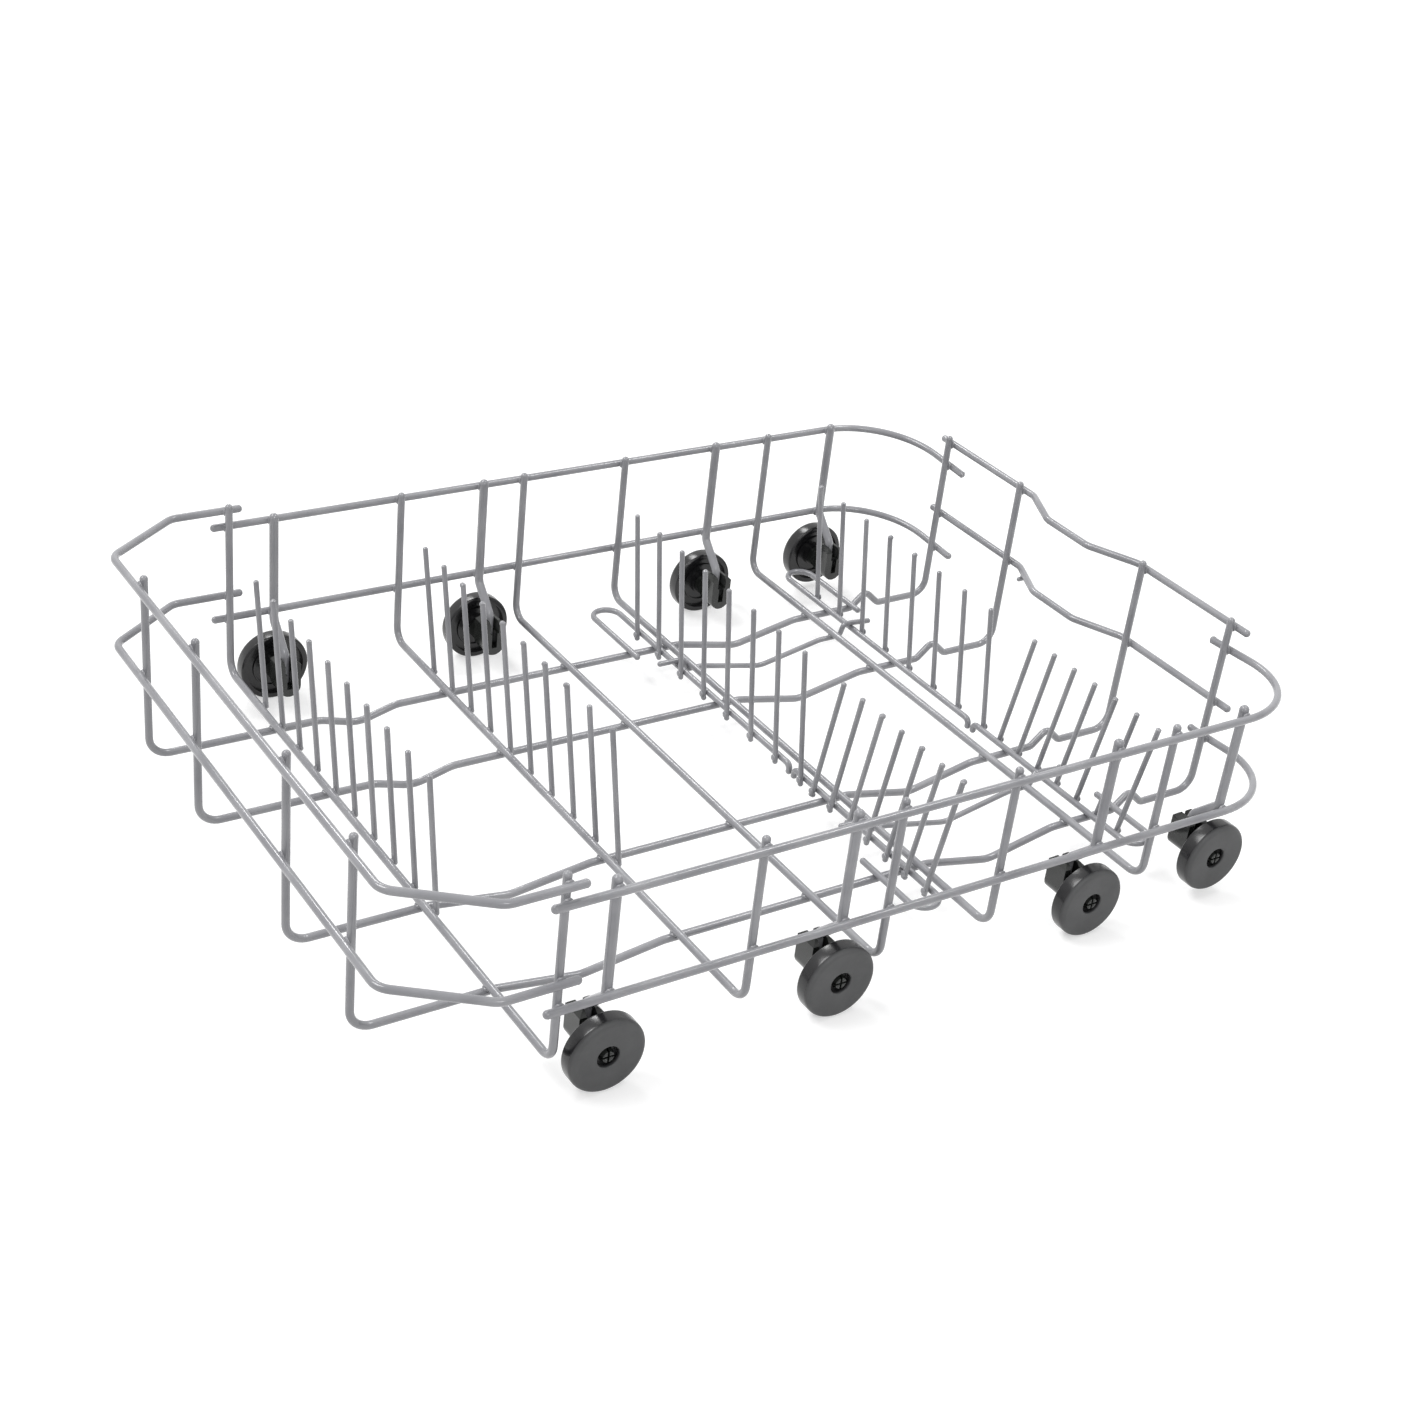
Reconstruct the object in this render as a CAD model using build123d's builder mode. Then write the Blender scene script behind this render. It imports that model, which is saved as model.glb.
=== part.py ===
"""Lower basket of a slimline dishwasher: coated wires, fold-down tine racks and eight wheels.

Frame: X across the basket, Y from front to rear, Z up. The origin is on the floor under the middle.
"""

import os
from math import radians, tan

from build123d import *

os.makedirs("parts", exist_ok=True)

# Wires, measured over their coating
frame_wire = 4.2
hanger_wire = 5.2
rack_wire = 3.6
hook_wire = 3.2
tine_wire = 3.0
end_bevel = 0.5
weld_sink = 0.08
running_gap = 0.3

# Outer size of the wire basket
basket_width = 388.0
basket_length = 528.0

# Heights of wire centres above the floor
long_floor = 17.6
side_upper = 110.1
side_lower = 53.6
front_upper = 119.6
front_lower = 68.1
rear_upper = 120.9
rear_lower = 73.5
upright_tip = 5.0
rear_tip = 5.5

# Cross wires: two set in from the front rail, a middle one and two set in from the rear rail
front_cross_insets = [73.9, 176.4]
middle_cross_y = -7.0
rear_cross_insets = [200.4, 97.4]
cross_bend = 9.0

# Long wires, left to right
long_x = [-126.0, -56.0, 54.2, 126.0]
long_front_bend = 11.5
long_rear_bend = 10.0
dip_bend = 22.0
front_dip_inset = 123.9
front_dip_depth = 6.5
front_dip_halves = [23.0, 23.0, 46.0, 46.0]
rear_dip_inset = 148.9
rear_dip_depth = 9.0
rear_dip_half = 43.0
hump_height = 9.5
hump_half = 10.5
hump_bend = 4.5
hump_clearance = 0.8

# Front rails
rail_overlap = 8.5
corner_run_x = 31.0
corner_run_y = 43.0
front_bend = 11.0

# Side rails round the rear corners
rear_corner_bend = 50.0
side_rail_end_x = 112.0
side_rail_drop = 4.6

# Rear rails
rear_rail_half = 136.5
recess_depth = 13.5
recess_outer_half = 47.0
recess_inner_half = 18.0
recess_bend = 12.0
pin_wire = 2.8
pin_length = 8.0
pin_x = -39.0

# Fixed tine rows on the first two cross wires
fixed_count = 10
fixed_first_x = -145.0
fixed_pitch = 23.4
fixed_lean = [-14.0, -18.0]
fixed_top = 92.6

# Fold-down racks
front_axis_offset = 8.2
rear_axis_offset = 15.0
rack_loop_width = 17.5
left_rack_reach = 175.8
right_rack_reach = 164.8
return_tip_x = 114.0
junction_x = 23.5
junction_gap = 1.4
crank_drop = 5.5
crank_bend = 3.0
rack_foot_drop = 3.5
rack_tops = {"front": 96.1, "rear": 93.4}
left_tine_count = 7
left_first_x = -138.7
left_pitches = {"front": 25.1, "rear": 24.3}
left_lean = -12.7
right_tine_count = 7
right_first_x = {"front": 47.9, "rear": 45.3}
right_pitch = 17.0
right_lean = 13.0

# Hook wires over the rack axis wires
left_hook_x = -97.5
right_hook_x = 88.0
hook_bend = 2.6
hook_rise_angle = 72.0
front_hook_reach = 14.0
rear_hook_reach = 13.5
rear_hook_fall = 1.2

# Wheels
front_wheel_inset = 99.6
middle_wheel_offset = 26.5
rear_wheel_inset = 136.2
wheel_radius = 20.0
wheel_width = 9.8
rack_wheel_gap = 9.4
rear_wheel_lift = 4.5
tread_round = 3.0
back_round = 1.2
rim_wall = 3.4
web_recess = 2.6
rib_radius = 11.5
rib_width = 1.2
rib_height = 1.0
face_dish = 0.6
hub_radius = 7.2
cap_recess_radius = 5.8
cap_recess_depth = 3.4

# Axles and carriers
axle_radius = 3.0
axle_fit = 0.08
axle_lip = 0.9
axle_slot = 1.1
boss_radius = 6.2
carrier_setback = 21.2
carrier_depth = 13.4
carrier_width = 13.0
carrier_drop = 7.8
carrier_rise = 6.3
carrier_edge = 0.8
ear_height = 7.5
ear_chamfer = 2.2
clip_lip = 0.9
clip_fit = 0.1

# Hangers
hanger_setback = 13.2
hanger_knee = 50.1
hanger_drop = 15.0
hanger_bend = 6.0
hanger_foot = 3.0

# Places that follow from the sizes above
side_rail_x = basket_width / 2 - frame_wire / 2
end_rail_y = basket_length / 2 - frame_wire / 2
cross_upright_x = side_rail_x - frame_wire + weld_sink
long_upright_y = end_rail_y - frame_wire + weld_sink
hanger_x = side_rail_x - (frame_wire + hanger_wire) / 2 + weld_sink
cross_floor = long_floor + frame_wire - weld_sink
front_cross_y = [inset - end_rail_y for inset in front_cross_insets]
rear_cross_y = [end_rail_y - inset for inset in rear_cross_insets]
cross_y = front_cross_y + [middle_cross_y] + rear_cross_y
front_dip_y = front_dip_inset - end_rail_y
rear_dip_y = end_rail_y - rear_dip_inset
wheel_y = [
    front_wheel_inset - end_rail_y,
    middle_cross_y - middle_wheel_offset,
    end_rail_y - rear_wheel_inset,
    end_rail_y - rear_corner_bend,
]
hub_inner_x = max(left_rack_reach, right_rack_reach) + rack_wheel_gap
wheel_face_x = hub_inner_x + wheel_width
carrier_inner_x = hub_inner_x - carrier_setback
hanger_inner_x = hub_inner_x - hanger_setback
axis_z = long_floor + (frame_wire + rack_wire) / 2 + running_gap
front_axis_y = cross_y[3] - front_axis_offset
rear_axis_y = cross_y[4] + rear_axis_offset
hump_y = rear_axis_y + rack_loop_width + rack_wire / 2 + hump_clearance + hump_half
tine_offset = (rack_wire + tine_wire) / 2 - weld_sink
sides = {"left": -1, "right": 1}


def save(part, label):
    part.label = label
    export_step(part, f"parts/{label}.step")


def bevel_ends(builder, diameter):
    flat_ends = builder.faces().filter_by(GeomType.PLANE)
    chamfer(flat_ends.edges(), end_bevel * diameter / 2)


def bent_wire(label, points, radii, diameter):
    with BuildPart() as wire:
        with BuildLine() as route:
            FilletPolyline(*points, radius=radii)
        with BuildSketch(Plane(origin=route.line @ 0, z_dir=route.line % 0)):
            Circle(diameter / 2)
        sweep(path=route.line)
        bevel_ends(wire, diameter)
    save(wire.part, label)


def tine_row(label, feet, y, foot_z, top_z):
    with BuildPart() as row:
        for foot_x, lean in feet:
            along = Vector(lean, 0, top_z - foot_z)
            with BuildSketch(Plane(origin=(foot_x, y, foot_z), x_dir=(0, 1, 0), z_dir=along)):
                Circle(tine_wire / 2)
            extrude(amount=along.length)
        bevel_ends(row, tine_wire)
    save(row.part, label)


# Cross wires: upright, floor, upright
for index, y in enumerate(cross_y):
    top = (front_upper if index == 0 else side_upper) + upright_tip
    corners = [
        (-cross_upright_x, y, top),
        (-cross_upright_x, y, cross_floor),
        (cross_upright_x, y, cross_floor),
        (cross_upright_x, y, top),
    ]
    bent_wire(f"cross_wire_{index + 1}", corners, cross_bend, frame_wire)

# Long wires: front upright, floor with two spray-arm dips and a hump, rear upright
for index, (x, front_dip_half) in enumerate(zip(long_x, front_dip_halves)):
    profile = [
        (-long_upright_y, front_upper + upright_tip),
        (-long_upright_y, long_floor),
        (front_dip_y - front_dip_half, long_floor),
        (front_dip_y, long_floor - front_dip_depth),
        (front_dip_y + front_dip_half, long_floor),
        (rear_dip_y - rear_dip_half, long_floor),
        (rear_dip_y, long_floor - rear_dip_depth),
        (rear_dip_y + rear_dip_half, long_floor),
        (hump_y - hump_half, long_floor),
        (hump_y, long_floor + hump_height),
        (hump_y + hump_half, long_floor),
        (long_upright_y, long_floor),
        (long_upright_y, rear_upper + rear_tip),
    ]
    bends = [long_front_bend] + [dip_bend] * 6 + [hump_bend] * 3 + [long_rear_bend]
    bent_wire(f"long_wire_{index + 1}", [(x, y, z) for y, z in profile], bends, frame_wire)

# Front rails, with chamfered corners
for level, z in (("upper", front_upper), ("lower", front_lower)):
    half_outline = [
        (side_rail_x, cross_y[0] + rail_overlap),
        (side_rail_x, -end_rail_y + corner_run_y),
        (side_rail_x - corner_run_x, -end_rail_y),
    ]
    right_half = [(x, y, z) for x, y in half_outline]
    left_half = [(-x, y, z) for x, y in reversed(half_outline)]
    bent_wire(f"front_rail_{level}", right_half + left_half, front_bend, frame_wire)

# Side rails, which turn in round the rear corners and fall a little towards their tips
for side, sign in sides.items():
    for level, z in (("upper", side_upper), ("lower", side_lower)):
        corners = [
            (sign * side_rail_x, cross_y[0] - rail_overlap, z),
            (sign * side_rail_x, end_rail_y, z),
            (sign * side_rail_end_x, end_rail_y, z - side_rail_drop),
        ]
        bent_wire(f"side_rail_{side}_{level}", corners, rear_corner_bend, frame_wire)

# Rear rails, with a recess in the middle
for level, z in (("upper", rear_upper), ("lower", rear_lower)):
    half_outline = [
        (rear_rail_half, end_rail_y),
        (recess_outer_half, end_rail_y),
        (recess_inner_half, end_rail_y - recess_depth),
    ]
    right_half = [(x, y, z) for x, y in half_outline]
    left_half = [(-x, y, z) for x, y in reversed(half_outline)]
    bent_wire(f"rear_rail_{level}", right_half + left_half, recess_bend, frame_wire)

# Pin under the lower rear rail, at the slope of its recess
slope_share = (recess_outer_half - abs(pin_x)) / (recess_outer_half - recess_inner_half)
pin_y = end_rail_y - recess_depth * slope_share
pin_z = rear_lower - (frame_wire + pin_wire) / 2 + weld_sink
with BuildPart() as stop_pin:
    with BuildSketch(Plane(origin=(pin_x, pin_y - pin_length / 2, pin_z), z_dir=(0, 1, 0))):
        Circle(pin_wire / 2)
    extrude(amount=pin_length)
    bevel_ends(stop_pin, pin_wire)
save(stop_pin.part, "stop_pin")

# Fixed tine rows, behind the first two cross wires
fixed_offset = (frame_wire + tine_wire) / 2 - weld_sink
fixed_foot = long_floor + frame_wire / 2 + running_gap
for index, lean in enumerate(fixed_lean):
    feet = [(fixed_first_x + fixed_pitch * n, lean) for n in range(fixed_count)]
    tine_row(f"tine_row_{index + 1}", feet, cross_y[index] + fixed_offset, fixed_foot, fixed_top)

# Fold-down racks: axis wire with a cranked inner end and a loop at its outer end, and its tines
rack_reach = {"left": left_rack_reach, "right": right_rack_reach}
racks = {"front": (front_axis_y, -1), "rear": (rear_axis_y, 1)}
for place, (axis_y, facing) in racks.items():
    even_x = [left_first_x + left_pitches[place] * n for n in range(left_tine_count + 1)]
    close_x = [right_first_x[place] + right_pitch * n for n in range(right_tine_count)]
    left_feet = [(x, left_lean) for x in even_x[:-1]]
    right_feet = [(even_x[-1], left_lean)] + [(x, right_lean) for x in close_x]
    rack_feet = {"left": left_feet, "right": right_feet}
    for side, sign in sides.items():
        inner_x = junction_x + sign * (rack_wire + junction_gap) / 2
        outer_x = sign * (rack_reach[side] - rack_wire / 2)
        return_y = axis_y + facing * rack_loop_width
        with BuildPart() as rack_axis:
            with BuildLine() as route:
                run = FilletPolyline(
                    (inner_x, axis_y, axis_z - crank_drop),
                    (inner_x, axis_y, axis_z),
                    (outer_x - sign * rack_loop_width / 2, axis_y, axis_z),
                    radius=crank_bend,
                )
                loop = ThreePointArc(
                    run @ 1,
                    (outer_x, (axis_y + return_y) / 2, axis_z),
                    (outer_x - sign * rack_loop_width / 2, return_y, axis_z),
                )
                Line(loop @ 1, (sign * return_tip_x, return_y, axis_z))
            with BuildSketch(Plane(origin=route.line @ 0, z_dir=route.line % 0)):
                Circle(rack_wire / 2)
            sweep(path=route.line)
            bevel_ends(rack_axis, rack_wire)
        save(rack_axis.part, f"rack_{place}_{side}_axis")
        tine_y = axis_y + facing * tine_offset
        foot_z = axis_z - rack_foot_drop
        tine_row(f"rack_{place}_{side}_tines", rack_feet[side], tine_y, foot_z, rack_tops[place])

# Hook wires: under the last two cross wires, up between wire and axis, and over each axis
hook_over = axis_z + (rack_wire + hook_wire) / 2 + running_gap
hook_under = cross_floor - (frame_wire + hook_wire) / 2 + weld_sink
hook_run = (hook_over - hook_under) / tan(radians(hook_rise_angle)) / 2
front_middle = (front_axis_y + cross_y[3]) / 2
rear_middle = (rear_axis_y + cross_y[4]) / 2
for side, x in (("left", left_hook_x), ("right", right_hook_x)):
    profile = [
        (front_axis_y - front_hook_reach, hook_over),
        (front_middle - hook_run, hook_over),
        (front_middle + hook_run, hook_under),
        (rear_dip_y - rear_dip_half, hook_under),
        (rear_dip_y, hook_under - rear_dip_depth),
        (rear_dip_y + rear_dip_half, hook_under),
        (rear_middle - hook_run, hook_under),
        (rear_middle + hook_run, hook_over),
        (rear_axis_y, hook_over),
        (rear_axis_y + rear_hook_reach, hook_over - rear_hook_fall),
    ]
    bends = [hook_bend] * 2 + [dip_bend] * 3 + [hook_bend] * 3
    bent_wire(f"hook_wire_{side}", [(x, y, z) for y, z in profile], bends, hook_wire)

# Hangers, carriers and wheels, four to a side
hub_outer_x = wheel_face_x - face_dish - cap_recess_depth
carrier_outer_x = carrier_inner_x + carrier_depth
round_mid = carrier_width / 2 - carrier_drop
ear_rise = carrier_rise + ear_height
for index, y in enumerate(wheel_y):
    lift = rear_wheel_lift if index == len(wheel_y) - 1 else 0
    centre_z = wheel_radius + lift
    block_top = centre_z + carrier_rise
    foot_z = centre_z - hanger_foot
    for side, sign in sides.items():
        hanger_points = [
            (sign * hanger_x, y, side_upper + upright_tip),
            (sign * hanger_x, y, hanger_knee + lift),
            (sign * hanger_inner_x, y, hanger_knee + lift - hanger_drop),
            (sign * hanger_inner_x, y, foot_z),
        ]
        bent_wire(f"hanger_{side}_{index + 1}", hanger_points, hanger_bend, hanger_wire)

        axle = Axis((0, y, centre_z), (1, 0, 0))
        section = Plane(origin=(0, y, centre_z), x_dir=(sign, 0, 0), z_dir=(0, -sign, 0))
        across = Plane(origin=(sign * carrier_inner_x, y, centre_z), x_dir=(0, sign, 0), z_dir=(sign, 0, 0))
        with BuildPart() as carrier:
            # Clip block with a round bottom and two ears that hold the hanger between them
            with BuildSketch(across):
                with Locations((0, round_mid)):
                    Circle(carrier_width / 2)
                with Locations((0, (ear_rise + round_mid) / 2)):
                    Rectangle(carrier_width, ear_rise - round_mid)
            extrude(amount=carrier_depth)
            chamfer(carrier.faces().sort_by(Axis.Z)[-1].edges(), ear_chamfer)
            # Boss, axle and snap lip in one turned form
            with BuildSketch(section):
                with BuildLine():
                    Polyline(
                        (carrier_outer_x - carrier_edge, 0),
                        (carrier_outer_x - carrier_edge, boss_radius),
                        (hub_inner_x - running_gap, boss_radius),
                        (hub_inner_x - running_gap, axle_radius),
                        (hub_outer_x + running_gap, axle_radius),
                        (hub_outer_x + running_gap, axle_radius + axle_lip),
                        (hub_outer_x + cap_recess_depth - running_gap, axle_radius),
                        (hub_outer_x + cap_recess_depth - running_gap, 0),
                        close=True,
                    )
                make_face()
            revolve(axis=axle)
            # Socket for the hanger, open towards the middle of the basket
            socket = Plane.XY.offset(foot_z - clip_fit)
            with BuildSketch(socket):
                with Locations((sign * hanger_inner_x, y)):
                    Circle(hanger_wire / 2 + clip_fit)
                with Locations((sign * (hanger_inner_x + carrier_inner_x) / 2, y)):
                    Rectangle(hanger_inner_x - carrier_inner_x, hanger_wire - 2 * clip_lip)
            extrude(amount=block_top - foot_z + clip_fit, mode=Mode.SUBTRACT)
            with BuildSketch(Plane.XY.offset(block_top)):
                with Locations((sign * (carrier_inner_x + carrier_depth / 2), y)):
                    Rectangle(carrier_depth, hanger_wire + 2 * clip_fit)
            extrude(amount=ear_height, mode=Mode.SUBTRACT)
            # Cross slots that split the axle end into four prongs
            with BuildSketch(Plane(origin=(sign * hub_inner_x, y, centre_z), z_dir=(sign, 0, 0))):
                Rectangle(axle_slot, 4 * axle_radius)
                Rectangle(4 * axle_radius, axle_slot)
            extrude(amount=wheel_width, mode=Mode.SUBTRACT)
        save(carrier.part, f"wheel_carrier_{side}_{index + 1}")

        with BuildPart() as wheel:
            with BuildSketch(section) as half:
                with BuildLine():
                    Polyline(
                        (hub_inner_x, axle_radius + axle_fit),
                        (hub_inner_x, hub_radius),
                        (hub_inner_x + web_recess, hub_radius),
                        (hub_inner_x + web_recess, rib_radius),
                        (hub_inner_x + web_recess - rib_height, rib_radius),
                        (hub_inner_x + web_recess - rib_height, rib_radius + rib_width),
                        (hub_inner_x + web_recess, rib_radius + rib_width),
                        (hub_inner_x + web_recess, wheel_radius - rim_wall),
                        (hub_inner_x, wheel_radius - rim_wall),
                        (hub_inner_x, wheel_radius),
                        (wheel_face_x, wheel_radius),
                        (wheel_face_x - face_dish, cap_recess_radius),
                        (hub_outer_x, cap_recess_radius),
                        (hub_outer_x, axle_radius + axle_fit),
                        close=True,
                    )
                make_face()
                fillet(half.vertices().group_by(Axis.Y)[-1].sort_by(Axis.X)[-1], tread_round)
                fillet(half.vertices().sort_by(Axis.X).group_by(Axis.X)[0].sort_by(Axis.Y)[-1], back_round)
            revolve(axis=axle)
        save(wheel.part, f"wheel_{side}_{index + 1}")
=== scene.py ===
from math import cos, pi, radians, sin

import bmesh
import bpy
from mathutils import Matrix, Quaternion, Vector


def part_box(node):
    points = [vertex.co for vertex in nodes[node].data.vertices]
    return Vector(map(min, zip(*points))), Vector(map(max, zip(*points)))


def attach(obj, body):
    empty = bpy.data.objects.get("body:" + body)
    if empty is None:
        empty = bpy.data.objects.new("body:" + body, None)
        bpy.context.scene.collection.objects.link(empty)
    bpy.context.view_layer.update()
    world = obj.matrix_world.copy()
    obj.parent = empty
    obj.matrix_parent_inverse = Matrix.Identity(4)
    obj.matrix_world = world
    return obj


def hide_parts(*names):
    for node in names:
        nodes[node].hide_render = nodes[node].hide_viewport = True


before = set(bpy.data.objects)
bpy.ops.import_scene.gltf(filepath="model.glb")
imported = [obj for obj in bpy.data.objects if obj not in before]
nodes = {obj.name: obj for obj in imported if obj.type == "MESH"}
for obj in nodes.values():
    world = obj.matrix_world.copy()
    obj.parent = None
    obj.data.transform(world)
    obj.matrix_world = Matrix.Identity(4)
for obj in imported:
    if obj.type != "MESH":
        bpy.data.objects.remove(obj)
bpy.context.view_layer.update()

mm = 0.001
sameSpot = 1e-6  # vertices closer than this are one
print("frame loaded:", len(nodes), "nodes")


# small helpers shared by the pieces

def newPiece(name, bm, finish, body):
    bmesh.ops.recalc_face_normals(bm, faces=bm.faces)
    mesh = bpy.data.meshes.new(name)
    bm.to_mesh(mesh)
    bm.free()
    mesh.shade_smooth()
    piece = bpy.data.objects.new(name, mesh)
    bpy.context.scene.collection.objects.link(piece)
    piece.data.materials.append(finish)
    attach(piece, body)
    return piece


def paintNode(node, finish):
    obj = nodes[node]
    obj.data.materials.clear()
    obj.data.materials.append(finish)


def named(*starts):
    return sorted(n for n in nodes if n.startswith(starts))


def middle(node):
    low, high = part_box(node)
    return (low + high) / 2


wireSize = {  # thickness over the coating in mm, found by a part of the node's name
    "cross_wire": 4.2, "long_wire": 4.2, "hook_wire": 3.2, "front_rail": 4.2, "side_rail": 4.2,
    "rear_rail": 4.2, "stop_pin": 2.8, "hanger": 5.2, "tine_row": 3.0, "_axis": 3.6, "_tines": 3.0,
}


def thickness(node):
    return next(size * mm for kind, size in wireSize.items() if kind in node)


# finishes

def newFinish(name):
    finish = bpy.data.materials.new(name)
    finish.use_nodes = True
    tree = finish.node_tree
    shader = tree.nodes["Principled BSDF"]
    place = tree.nodes.new("ShaderNodeTexCoord").outputs["Object"]
    return finish, tree, shader, place


def noise(tree, place, scale, detail, rough=0.5):
    node = tree.nodes.new("ShaderNodeTexNoise")
    node.inputs["Scale"].default_value = scale
    node.inputs["Detail"].default_value = detail
    node.inputs["Roughness"].default_value = rough
    tree.links.new(place, node.inputs["Vector"])
    return node.outputs["Fac"]


def ramp(tree, fac, stops):
    node = tree.nodes.new("ShaderNodeValToRGB")
    node.color_ramp.elements[0].position, node.color_ramp.elements[0].color = stops[0]
    node.color_ramp.elements[1].position, node.color_ramp.elements[1].color = stops[-1]
    for position, color in stops[1:-1]:
        node.color_ramp.elements.new(position).color = color
    tree.links.new(fac, node.inputs["Fac"])
    return node.outputs["Color"]


def mapRange(tree, fac, low, high):
    node = tree.nodes.new("ShaderNodeMapRange")
    node.inputs["To Min"].default_value = low
    node.inputs["To Max"].default_value = high
    tree.links.new(fac, node.inputs["Value"])
    return node.outputs["Result"]


def faceShare(tree, place, start, stop):
    split = tree.nodes.new("ShaderNodeSeparateXYZ")
    tree.links.new(place, split.inputs[0])
    far = tree.nodes.new("ShaderNodeMath")
    far.operation = "ABSOLUTE"
    tree.links.new(split.outputs["X"], far.inputs[0])
    share = tree.nodes.new("ShaderNodeMapRange")
    share.inputs["From Min"].default_value = start
    share.inputs["From Max"].default_value = stop
    tree.links.new(far.outputs[0], share.inputs["Value"])
    return share.outputs["Result"]


def blend(tree, share, first, second, kind):
    node = tree.nodes.new("ShaderNodeMix")
    node.data_type = kind
    factor, low, high = [s for s in node.inputs if s.enabled]
    low.default_value = first
    tree.links.new(share, factor)
    tree.links.new(second, high)
    return next(s for s in node.outputs if s.enabled)


def bump(tree, shader, height, strength, distance):
    node = tree.nodes.new("ShaderNodeBump")
    node.inputs["Strength"].default_value = strength
    node.inputs["Distance"].default_value = distance
    tree.links.new(height, node.inputs["Height"])
    tree.links.new(node.outputs["Normal"], shader.inputs["Normal"])


wireLook = {
    "tints": [(0.3, (0.225, 0.226, 0.243, 1)), (0.5, (0.268, 0.269, 0.286, 1)),
              (0.72, (0.315, 0.316, 0.332, 1))],
    "tintScale": 38, "tintDetail": 3, "flowScale": 420, "flowDetail": 2, "roughLow": 0.16, "roughHigh": 0.28,
    "coat": 0.4, "coatRough": 0.08, "bump": 0.16, "bumpDepth": 0.00012,
}


def coatedWireFinish():
    finish, tree, shader, place = newFinish("coatedWire")
    look = wireLook
    tint = noise(tree, place, look["tintScale"], look["tintDetail"])
    tree.links.new(ramp(tree, tint, look["tints"]), shader.inputs["Base Color"])
    flow = noise(tree, place, look["flowScale"], look["flowDetail"])  # slow ripple of the dipped coating
    tree.links.new(mapRange(tree, flow, look["roughLow"], look["roughHigh"]), shader.inputs["Roughness"])
    bump(tree, shader, flow, look["bump"], look["bumpDepth"])
    shader.inputs["Coat Weight"].default_value = look["coat"]
    shader.inputs["Coat Roughness"].default_value = look["coatRough"]
    return finish


wheelLook = {
    "tints": [(0.3, (0.058, 0.059, 0.06, 1)), (0.7, (0.082, 0.083, 0.085, 1))],
    "tintScale": 60, "tintDetail": 4, "tintRough": 0.6, "grainScale": 2600, "grainDetail": 2,
    "roughLow": 0.46, "roughHigh": 0.62, "bump": 0.22, "bumpDepth": 0.00008,
    "backColor": (0.01, 0.01, 0.011, 1), "backRough": 0.22, "backFrom": 0.1922, "backTo": 0.1942,
}
carrierLook = {
    "tints": [(0.3, (0.011, 0.012, 0.011, 1)), (0.7, (0.026, 0.028, 0.026, 1))],
    "tintScale": 90, "tintDetail": 4, "tintRough": 0.6, "grainScale": 1800, "grainDetail": 2,
    "roughLow": 0.1, "roughHigh": 0.22, "bump": 0.1, "bumpDepth": 0.00006,
}


def mouldedFinish(name, look):
    finish, tree, shader, place = newFinish(name)
    tint = noise(tree, place, look["tintScale"], look["tintDetail"], look["tintRough"])
    color = ramp(tree, tint, look["tints"])
    grain = noise(tree, place, look["grainScale"], look["grainDetail"])
    rough = mapRange(tree, grain, look["roughLow"], look["roughHigh"])
    bump(tree, shader, grain, look["bump"], look["bumpDepth"])
    if "backColor" in look:  # polished black tread and back, satin grey face
        face = faceShare(tree, place, look["backFrom"], look["backTo"])
        color = blend(tree, face, look["backColor"], color, "RGBA")
        rough = blend(tree, face, look["backRough"], rough, "FLOAT")
    tree.links.new(color, shader.inputs["Base Color"])
    tree.links.new(rough, shader.inputs["Roughness"])
    return finish


wireFinish = coatedWireFinish()
wheelFinish = mouldedFinish("wheelPlastic", wheelLook)
carrierFinish = mouldedFinish("carrierPlastic", carrierLook)
for name in named("wheel_carrier"):
    paintNode(name, carrierFinish)
basketWires = named("cross", "long", "hook", "front", "side", "rear", "stop", "hanger", "tine")
rackNames = ["rack_front_left", "rack_front_right", "rack_rear_left", "rack_rear_right"]
for name in basketWires + named("rack"):
    paintNode(name, wireFinish)
print("finishes on the carried-over nodes")


# rounded wire ends: the coating closes each cut end with a bead a little fatter than the wire

endBead = {  # swell and sink as shares of the wire's radius
    "swell": 1.04, "sink": 0.75, "rings": 10, "around": 16, "minFan": 8, "turnDigits": 3, "levelDigits": 5,
}


def joinedMesh(node):
    bm = bmesh.new()
    bm.from_mesh(nodes[node].data)
    bmesh.ops.remove_doubles(bm, verts=bm.verts, dist=sameSpot)
    return bm


def wireEnds(node, radius):
    bm = joinedMesh(node)
    fans = {}  # faces that share a plane, of which a flat wire end has many
    for face in bm.faces:
        level = face.normal.dot(face.verts[0].co)
        turn = tuple(round(v, endBead["turnDigits"]) for v in face.normal)
        fans.setdefault(turn + (round(level, endBead["levelDigits"]),), set()).add(face)
    ends = []
    for plane, faces in fans.items():
        while len(faces) >= endBead["minFan"]:
            patch, queue = set(), [next(iter(faces))]
            while queue:
                face = queue.pop()
                if face in faces:
                    faces.remove(face)
                    patch.add(face)
                    queue += [other for edge in face.edges for other in edge.link_faces]
            points = {v for face in patch for v in face.verts}
            centre = sum((v.co for v in points), Vector()) / len(points)
            reach = max((v.co - centre).length for v in points)
            if len(patch) >= endBead["minFan"] and reach < radius:
                ends.append((centre, Vector(plane[:3]).normalized()))
    bm.free()
    return ends


def addBead(bm, at, normal, size, bead):
    turn = Vector(normal).to_track_quat("Z", "Y").to_matrix().to_4x4()
    ball = bmesh.new()
    bmesh.ops.create_uvsphere(ball, u_segments=bead["around"], v_segments=bead["rings"], radius=1,
                              matrix=Matrix.Translation(at) @ turn @ Matrix.Diagonal((*size, 1)))
    mesh = bpy.data.meshes.new("bead")
    ball.to_mesh(mesh)
    ball.free()
    bm.from_mesh(mesh)  # joined from its own small mesh, quicker than building inside a large one
    bpy.data.meshes.remove(mesh)


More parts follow.
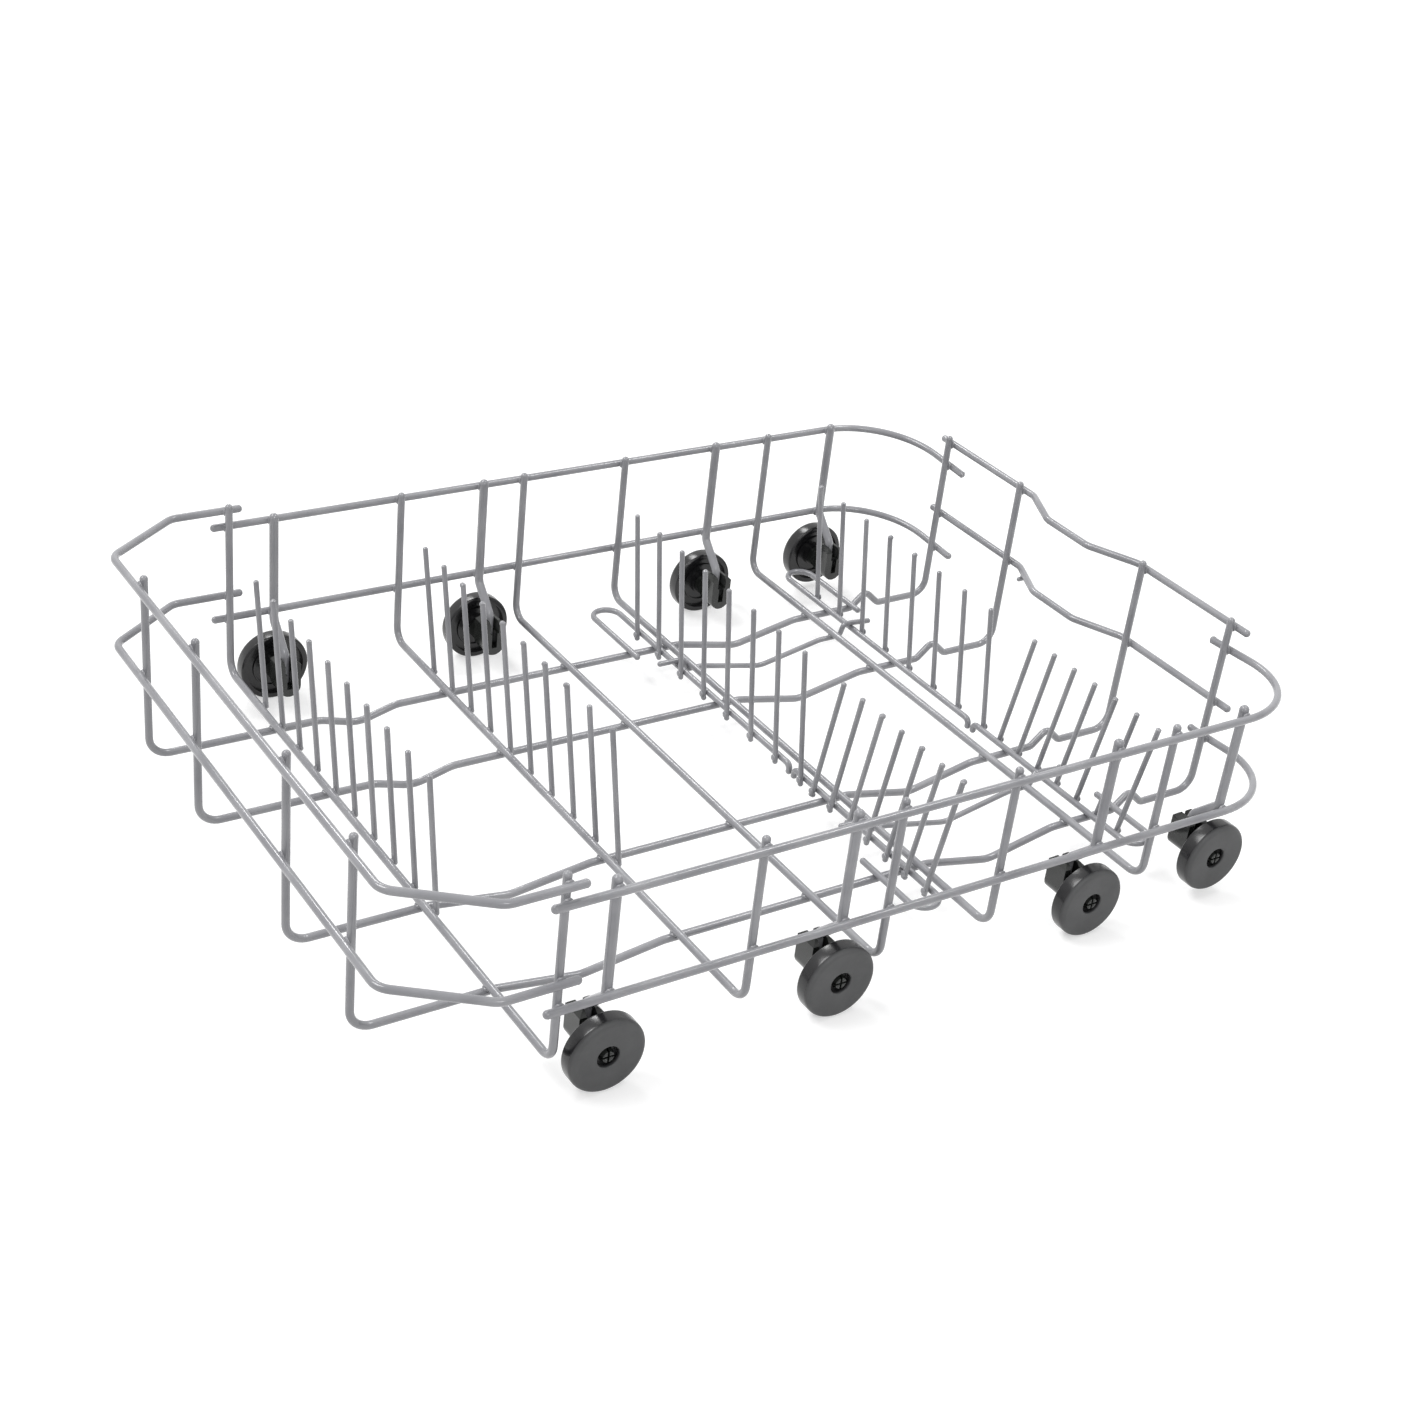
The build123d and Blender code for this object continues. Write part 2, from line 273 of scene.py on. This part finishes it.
def addEnds(bm, node, radius):
    for centre, outward in wireEnds(node, radius):
        size = radius * endBead["swell"]
        addBead(bm, centre - outward * radius * endBead["sink"], outward, (size, size, size), endBead)


# weld beads: the coating gathers in the corners where two wires cross

weldBead = {  # across, thick and touch as shares of the wire's thickness
    "across": 0.64, "thick": 0.27, "rings": 8, "around": 18, "outerShare": 0.95, "touch": 0.25,
}


def addWeld(bm, at, normal, wire):
    across, thick = wire * weldBead["across"], wire * weldBead["thick"]
    addBead(bm, at, normal, (across, across, thick), weldBead)


def floorWelds():
    for cross in named("cross_wire"):
        low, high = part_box(cross)
        for under in named("long_wire", "hook_wire"):
            start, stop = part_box(under)
            if start.y < low.y and stop.y > high.y:
                yield Vector((middle(under).x, middle(cross).y, low.z)), (0, 0, 1), thickness(under)


def sideWelds():
    wire = thickness("cross_wire_1")
    for rail in named("side_rail", "front_rail"):
        low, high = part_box(rail)
        outer = weldBead["outerShare"] * max(abs(low.x), abs(high.x))
        for upright in named("cross_wire", "hanger"):
            start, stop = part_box(upright)
            for face in (start.x, stop.x):
                spot = Vector((face, middle(upright).y, high.z - wire / 2))
                onRail = low.y < spot.y < high.y and low.x < face < high.x and abs(face) > outer
                found = nodes[upright].closest_point_on_mesh(spot)[1]
                if onRail and (found - spot).length < wire * weldBead["touch"]:
                    yield spot, (1, 0, 0), wire


def endWelds():
    wire = thickness("long_wire_1")
    for upright in named("long_wire"):
        start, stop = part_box(upright)
        x = middle(upright).x
        for rail in named("front_rail", "rear_rail"):
            y = start.y if rail.startswith("front") else stop.y
            yield Vector((x, y, middle(rail).z)), (0, 1, 0), wire
        for rail in named("side_rail"):
            low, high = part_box(rail)
            inner, outer = sorted((abs(low.x), abs(high.x)))
            if low.x < x < high.x:  # the rail falls evenly from its corner to its tip
                share = (abs(x) - inner) / (outer - wire / 2 - inner)
                height = low.z + wire / 2 + (high.z - low.z - wire) * share
                yield Vector((x, stop.y, height)), (0, 1, 0), wire


def tineLines(node):
    bm = joinedMesh(node)
    left = set(bm.verts)
    lines = []
    while left:
        queue, tine = [next(iter(left))], []
        while queue:
            vert = queue.pop()
            if vert in left:
                left.remove(vert)
                tine.append(vert.co.copy())
                queue += [edge.other_vert(vert) for edge in vert.link_edges]
        half = (min(co.z for co in tine) + max(co.z for co in tine)) / 2
        ends = [[co for co in tine if co.z < half], [co for co in tine if co.z >= half]]
        lines.append([sum(end, Vector()) / len(end) for end in ends])
    bm.free()
    return lines


def tineWelds(node, carrier, height):
    near, far = middle(node).y, middle(carrier).y
    wire = thickness(node)
    for foot, top in tineLines(node):
        x = foot.x + (top.x - foot.x) * (height - foot.z) / (top.z - foot.z)
        y = near + wire / 2 * (1 if far > near else -1)
        yield Vector((x, y, height)), (0, 1, 0), wire


def makeBasketBeads():
    bm = bmesh.new()
    for node in basketWires:
        addEnds(bm, node, thickness(node) / 2)
    for weld in [*floorWelds(), *sideWelds(), *endWelds()]:
        addWeld(bm, *weld)
    for row, cross in (("tine_row_1", "cross_wire_1"), ("tine_row_2", "cross_wire_2")):
        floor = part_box(cross)[0].z + thickness(cross) / 2
        for weld in tineWelds(row, cross, floor):
            addWeld(bm, *weld)
    pin = middle("stop_pin")
    addWeld(bm, Vector((pin.x, pin.y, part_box("stop_pin")[1].z)), (0, 0, 1), thickness("stop_pin"))
    newPiece("basketBeads", bm, wireFinish, "basket")


def makeRackBeads(rack):
    axis, tines = rack + "_axis", rack + "_tines"
    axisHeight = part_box(axis)[1].z - thickness(axis) / 2
    bm = bmesh.new()
    addEnds(bm, axis, thickness(axis) / 2)
    addEnds(bm, tines, thickness(tines) / 2)
    for weld in tineWelds(tines, axis, axisHeight):
        addWeld(bm, *weld)
    newPiece(rack + "_beads", bm, wireFinish, rack)


makeBasketBeads()
for rack in rackNames:
    makeRackBeads(rack)
print("wire ends rounded and welds beaded")


# wheels: smooth discs with a dished face, a hub recess and ringed backs

wheelShape = {  # lengths in mm, sharpAngle in degrees
    "around": 96, "edgeSteps": 6, "sharpAngle": 38, "edge": 3.0, "backEdge": 1.2, "dish": 0.6, "recess": 5.8,
    "recessDepth": 3.4, "recessRound": 0.7, "bore": 3.08, "hub": 7.2, "rim": 3.4, "backRecess": 2.6,
    "rib": 11.5, "ribWidth": 1.2, "ribHeight": 1.0, "draft": 0.25,
}


def arcPoints(axial, radial, radius, start, stop):
    steps = wheelShape["edgeSteps"]
    for step in range(steps + 1):
        angle = radians(start + (stop - start) * step / steps)
        yield axial + radius * cos(angle), radial + radius * sin(angle)


def wheelProfile(front, radius):
    s = {key: value * mm for key, value in wheelShape.items()}
    web, ribTop = s["backRecess"], s["backRecess"] - s["ribHeight"]
    dished = front - s["dish"]
    floor = dished - s["recessDepth"]
    points = [(0, s["bore"]), (0, s["hub"]), (web, s["hub"] + s["draft"]), (web, s["rib"])]
    points += [(ribTop, s["rib"] + s["draft"]), (ribTop, s["rib"] + s["ribWidth"] - s["draft"])]
    points += [(web, s["rib"] + s["ribWidth"]), (web, radius - s["rim"]), (0, radius - s["rim"] + s["draft"])]
    points += arcPoints(s["backEdge"], radius - s["backEdge"], s["backEdge"], 180, 90)
    points += arcPoints(front - s["edge"], radius - s["edge"], s["edge"], 90, 0)
    points += arcPoints(dished - s["recessRound"], s["recess"] + s["recessRound"], s["recessRound"], 0, -90)
    points += [(floor, s["recess"] - s["draft"]), (floor, s["bore"])]
    return points


def makeWheel(node):
    low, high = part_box(node)
    centre = (low + high) / 2
    outward = 1 if centre.x > 0 else -1
    back = low.x if outward > 0 else high.x
    radius = (high.z - low.z) / 2
    bm = bmesh.new()
    ring = [bm.verts.new((back + outward * axial, centre.y, centre.z + radial))
            for axial, radial in wheelProfile(high.x - low.x, radius)]
    edges = [bm.edges.new(pair) for pair in zip(ring, ring[1:] + ring[:1])]
    bmesh.ops.spin(bm, geom=ring + edges, cent=centre, axis=(1, 0, 0), angle=2 * pi,
                   steps=wheelShape["around"], use_merge=True)
    bmesh.ops.remove_doubles(bm, verts=bm.verts, dist=sameSpot)
    wheel = newPiece(node + "_disc", bm, wheelFinish, node)
    wheel.data.set_sharp_from_angle(angle=radians(wheelShape["sharpAngle"]))
    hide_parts(node)


for name in named("wheel_left", "wheel_right"):
    makeWheel(name)
print("wheels turned")


# rounded tips on the four prongs of each axle

prongTip = {"out": 1.45, "wide": 1.0, "deep": 0.6, "sink": 0.2, "rings": 8, "around": 14}  # lengths in mm


def makeProngTips():
    out, wide, deep, sink = (prongTip[key] * mm for key in ("out", "wide", "deep", "sink"))
    bm = bmesh.new()
    for carrier in named("wheel_carrier"):
        low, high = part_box(carrier)
        axle = middle(carrier.replace("_carrier", ""))
        outward = 1 if axle.x > 0 else -1
        tip = (high.x if outward > 0 else low.x) - outward * sink
        for y in (axle.y - out, axle.y + out):
            for z in (axle.z - out, axle.z + out):
                addBead(bm, Vector((tip, y, z)), (outward, 0, 0), (wide, wide, deep), prongTip)
    newPiece("prongTips", bm, carrierFinish, "basket")


makeProngTips()
print("axle prongs rounded")


# floor, light and camera

stageLook = {
    "floor": (0.62, 0.62, 0.62, 1), "floorSize": 14.0, "floorRough": 0.9, "floorGloss": 0.1, "floorGlow": 0.5,
    "sky": 0.5, "skySeen": 1.0, "skyColor": (1, 1, 1, 1),
}
sun = {"strength": 1.6, "width": 28, "from": (-0.45, -0.75, 1.3)}
lamps = [
    {"name": "fillLamp", "at": (1.9, -0.4, 1.7), "size": 0.9, "power": 12},
    {"name": "leftLamp", "at": (-1.7, 0.17, 1.72), "size": 0.6, "power": 11},
    {"name": "backLamp", "at": (0.15, 1.2, 2.1), "size": 0.6, "power": 11},
]


def seenDirectly(tree):
    rays = tree.nodes.new("ShaderNodeLightPath")
    seen = rays.outputs["Is Camera Ray"]
    for ray in ("Is Glossy Ray", "Is Transmission Ray"):
        most = tree.nodes.new("ShaderNodeMath")
        most.operation = "MAXIMUM"
        tree.links.new(seen, most.inputs[0])
        tree.links.new(rays.outputs[ray], most.inputs[1])
        seen = most.outputs[0]
    return seen


def makeFloor():
    bm = bmesh.new()
    bmesh.ops.create_grid(bm, x_segments=1, y_segments=1, size=stageLook["floorSize"] / 2)
    mesh = bpy.data.meshes.new("floor")
    bm.to_mesh(mesh)
    bm.free()
    floor = bpy.data.objects.new("floor", mesh)
    bpy.context.scene.collection.objects.link(floor)
    finish, tree, shader, _ = newFinish("paleFloor")
    shader.inputs["Base Color"].default_value = stageLook["floor"]
    shader.inputs["Roughness"].default_value = stageLook["floorRough"]
    shader.inputs["Specular IOR Level"].default_value = stageLook["floorGloss"]
    shader.inputs["Emission Color"].default_value = stageLook["skyColor"]
    glow = mapRange(tree, seenDirectly(tree), 0, stageLook["floorGlow"])
    tree.links.new(glow, shader.inputs["Emission Strength"])
    floor.data.materials.append(finish)


def makeSky():
    world = bpy.data.worlds.new("studio")
    bpy.context.scene.world = world
    world.use_nodes = True
    tree = world.node_tree
    back = tree.nodes["Background"]
    back.inputs["Color"].default_value = stageLook["skyColor"]
    strength = mapRange(tree, seenDirectly(tree), stageLook["sky"], stageLook["skySeen"])
    tree.links.new(strength, back.inputs["Strength"])


def placeLight(light, at):
    obj = bpy.data.objects.new(light.name, light)
    bpy.context.scene.collection.objects.link(obj)
    obj.location = at
    obj.rotation_euler = (-Vector(at)).to_track_quat("-Z", "Y").to_euler()


def makeLights():
    light = bpy.data.lights.new("keySun", "SUN")
    light.energy = sun["strength"]
    light.angle = radians(sun["width"])
    placeLight(light, sun["from"])
    for lamp in lamps:
        light = bpy.data.lights.new(lamp["name"], "AREA")
        light.shape = "DISK"
        light.size = lamp["size"]
        light.energy = lamp["power"]
        placeLight(light, lamp["at"])


view = {  # place in metres, angles in degrees, focalPixels, centre and frame in the photo's pixels
    "at": (0.8403, -0.5939, 0.6583), "azimuth": 53.96, "elevation": 31.27, "roll": 7.01,
    "focalPixels": 2212.9, "centre": (716.1, 751.0), "frame": 1404, "sensor": 36.0,
}


def makeCamera():
    data = bpy.data.cameras.new("photoView")
    data.sensor_width = view["sensor"]
    data.lens = view["focalPixels"] / view["frame"] * view["sensor"]
    half = view["frame"] / 2
    data.shift_x = (half - view["centre"][0]) / view["frame"]
    data.shift_y = (view["centre"][1] - half) / view["frame"]
    camera = bpy.data.objects.new("photoView", data)
    bpy.context.scene.collection.objects.link(camera)
    turn, tip = radians(view["azimuth"]), radians(view["elevation"])
    inward = Vector((-sin(turn) * cos(tip), cos(turn) * cos(tip), -sin(tip)))
    aim = inward.to_track_quat("-Z", "Y") @ Quaternion((0, 0, 1), radians(view["roll"]))
    camera.matrix_world = Matrix.Translation(view["at"]) @ aim.to_matrix().to_4x4()
    bpy.context.scene.camera = camera


makeFloor()
makeSky()
makeLights()
makeCamera()
bpy.context.scene.view_settings.view_transform = "Standard"
print("floor, light and camera set")
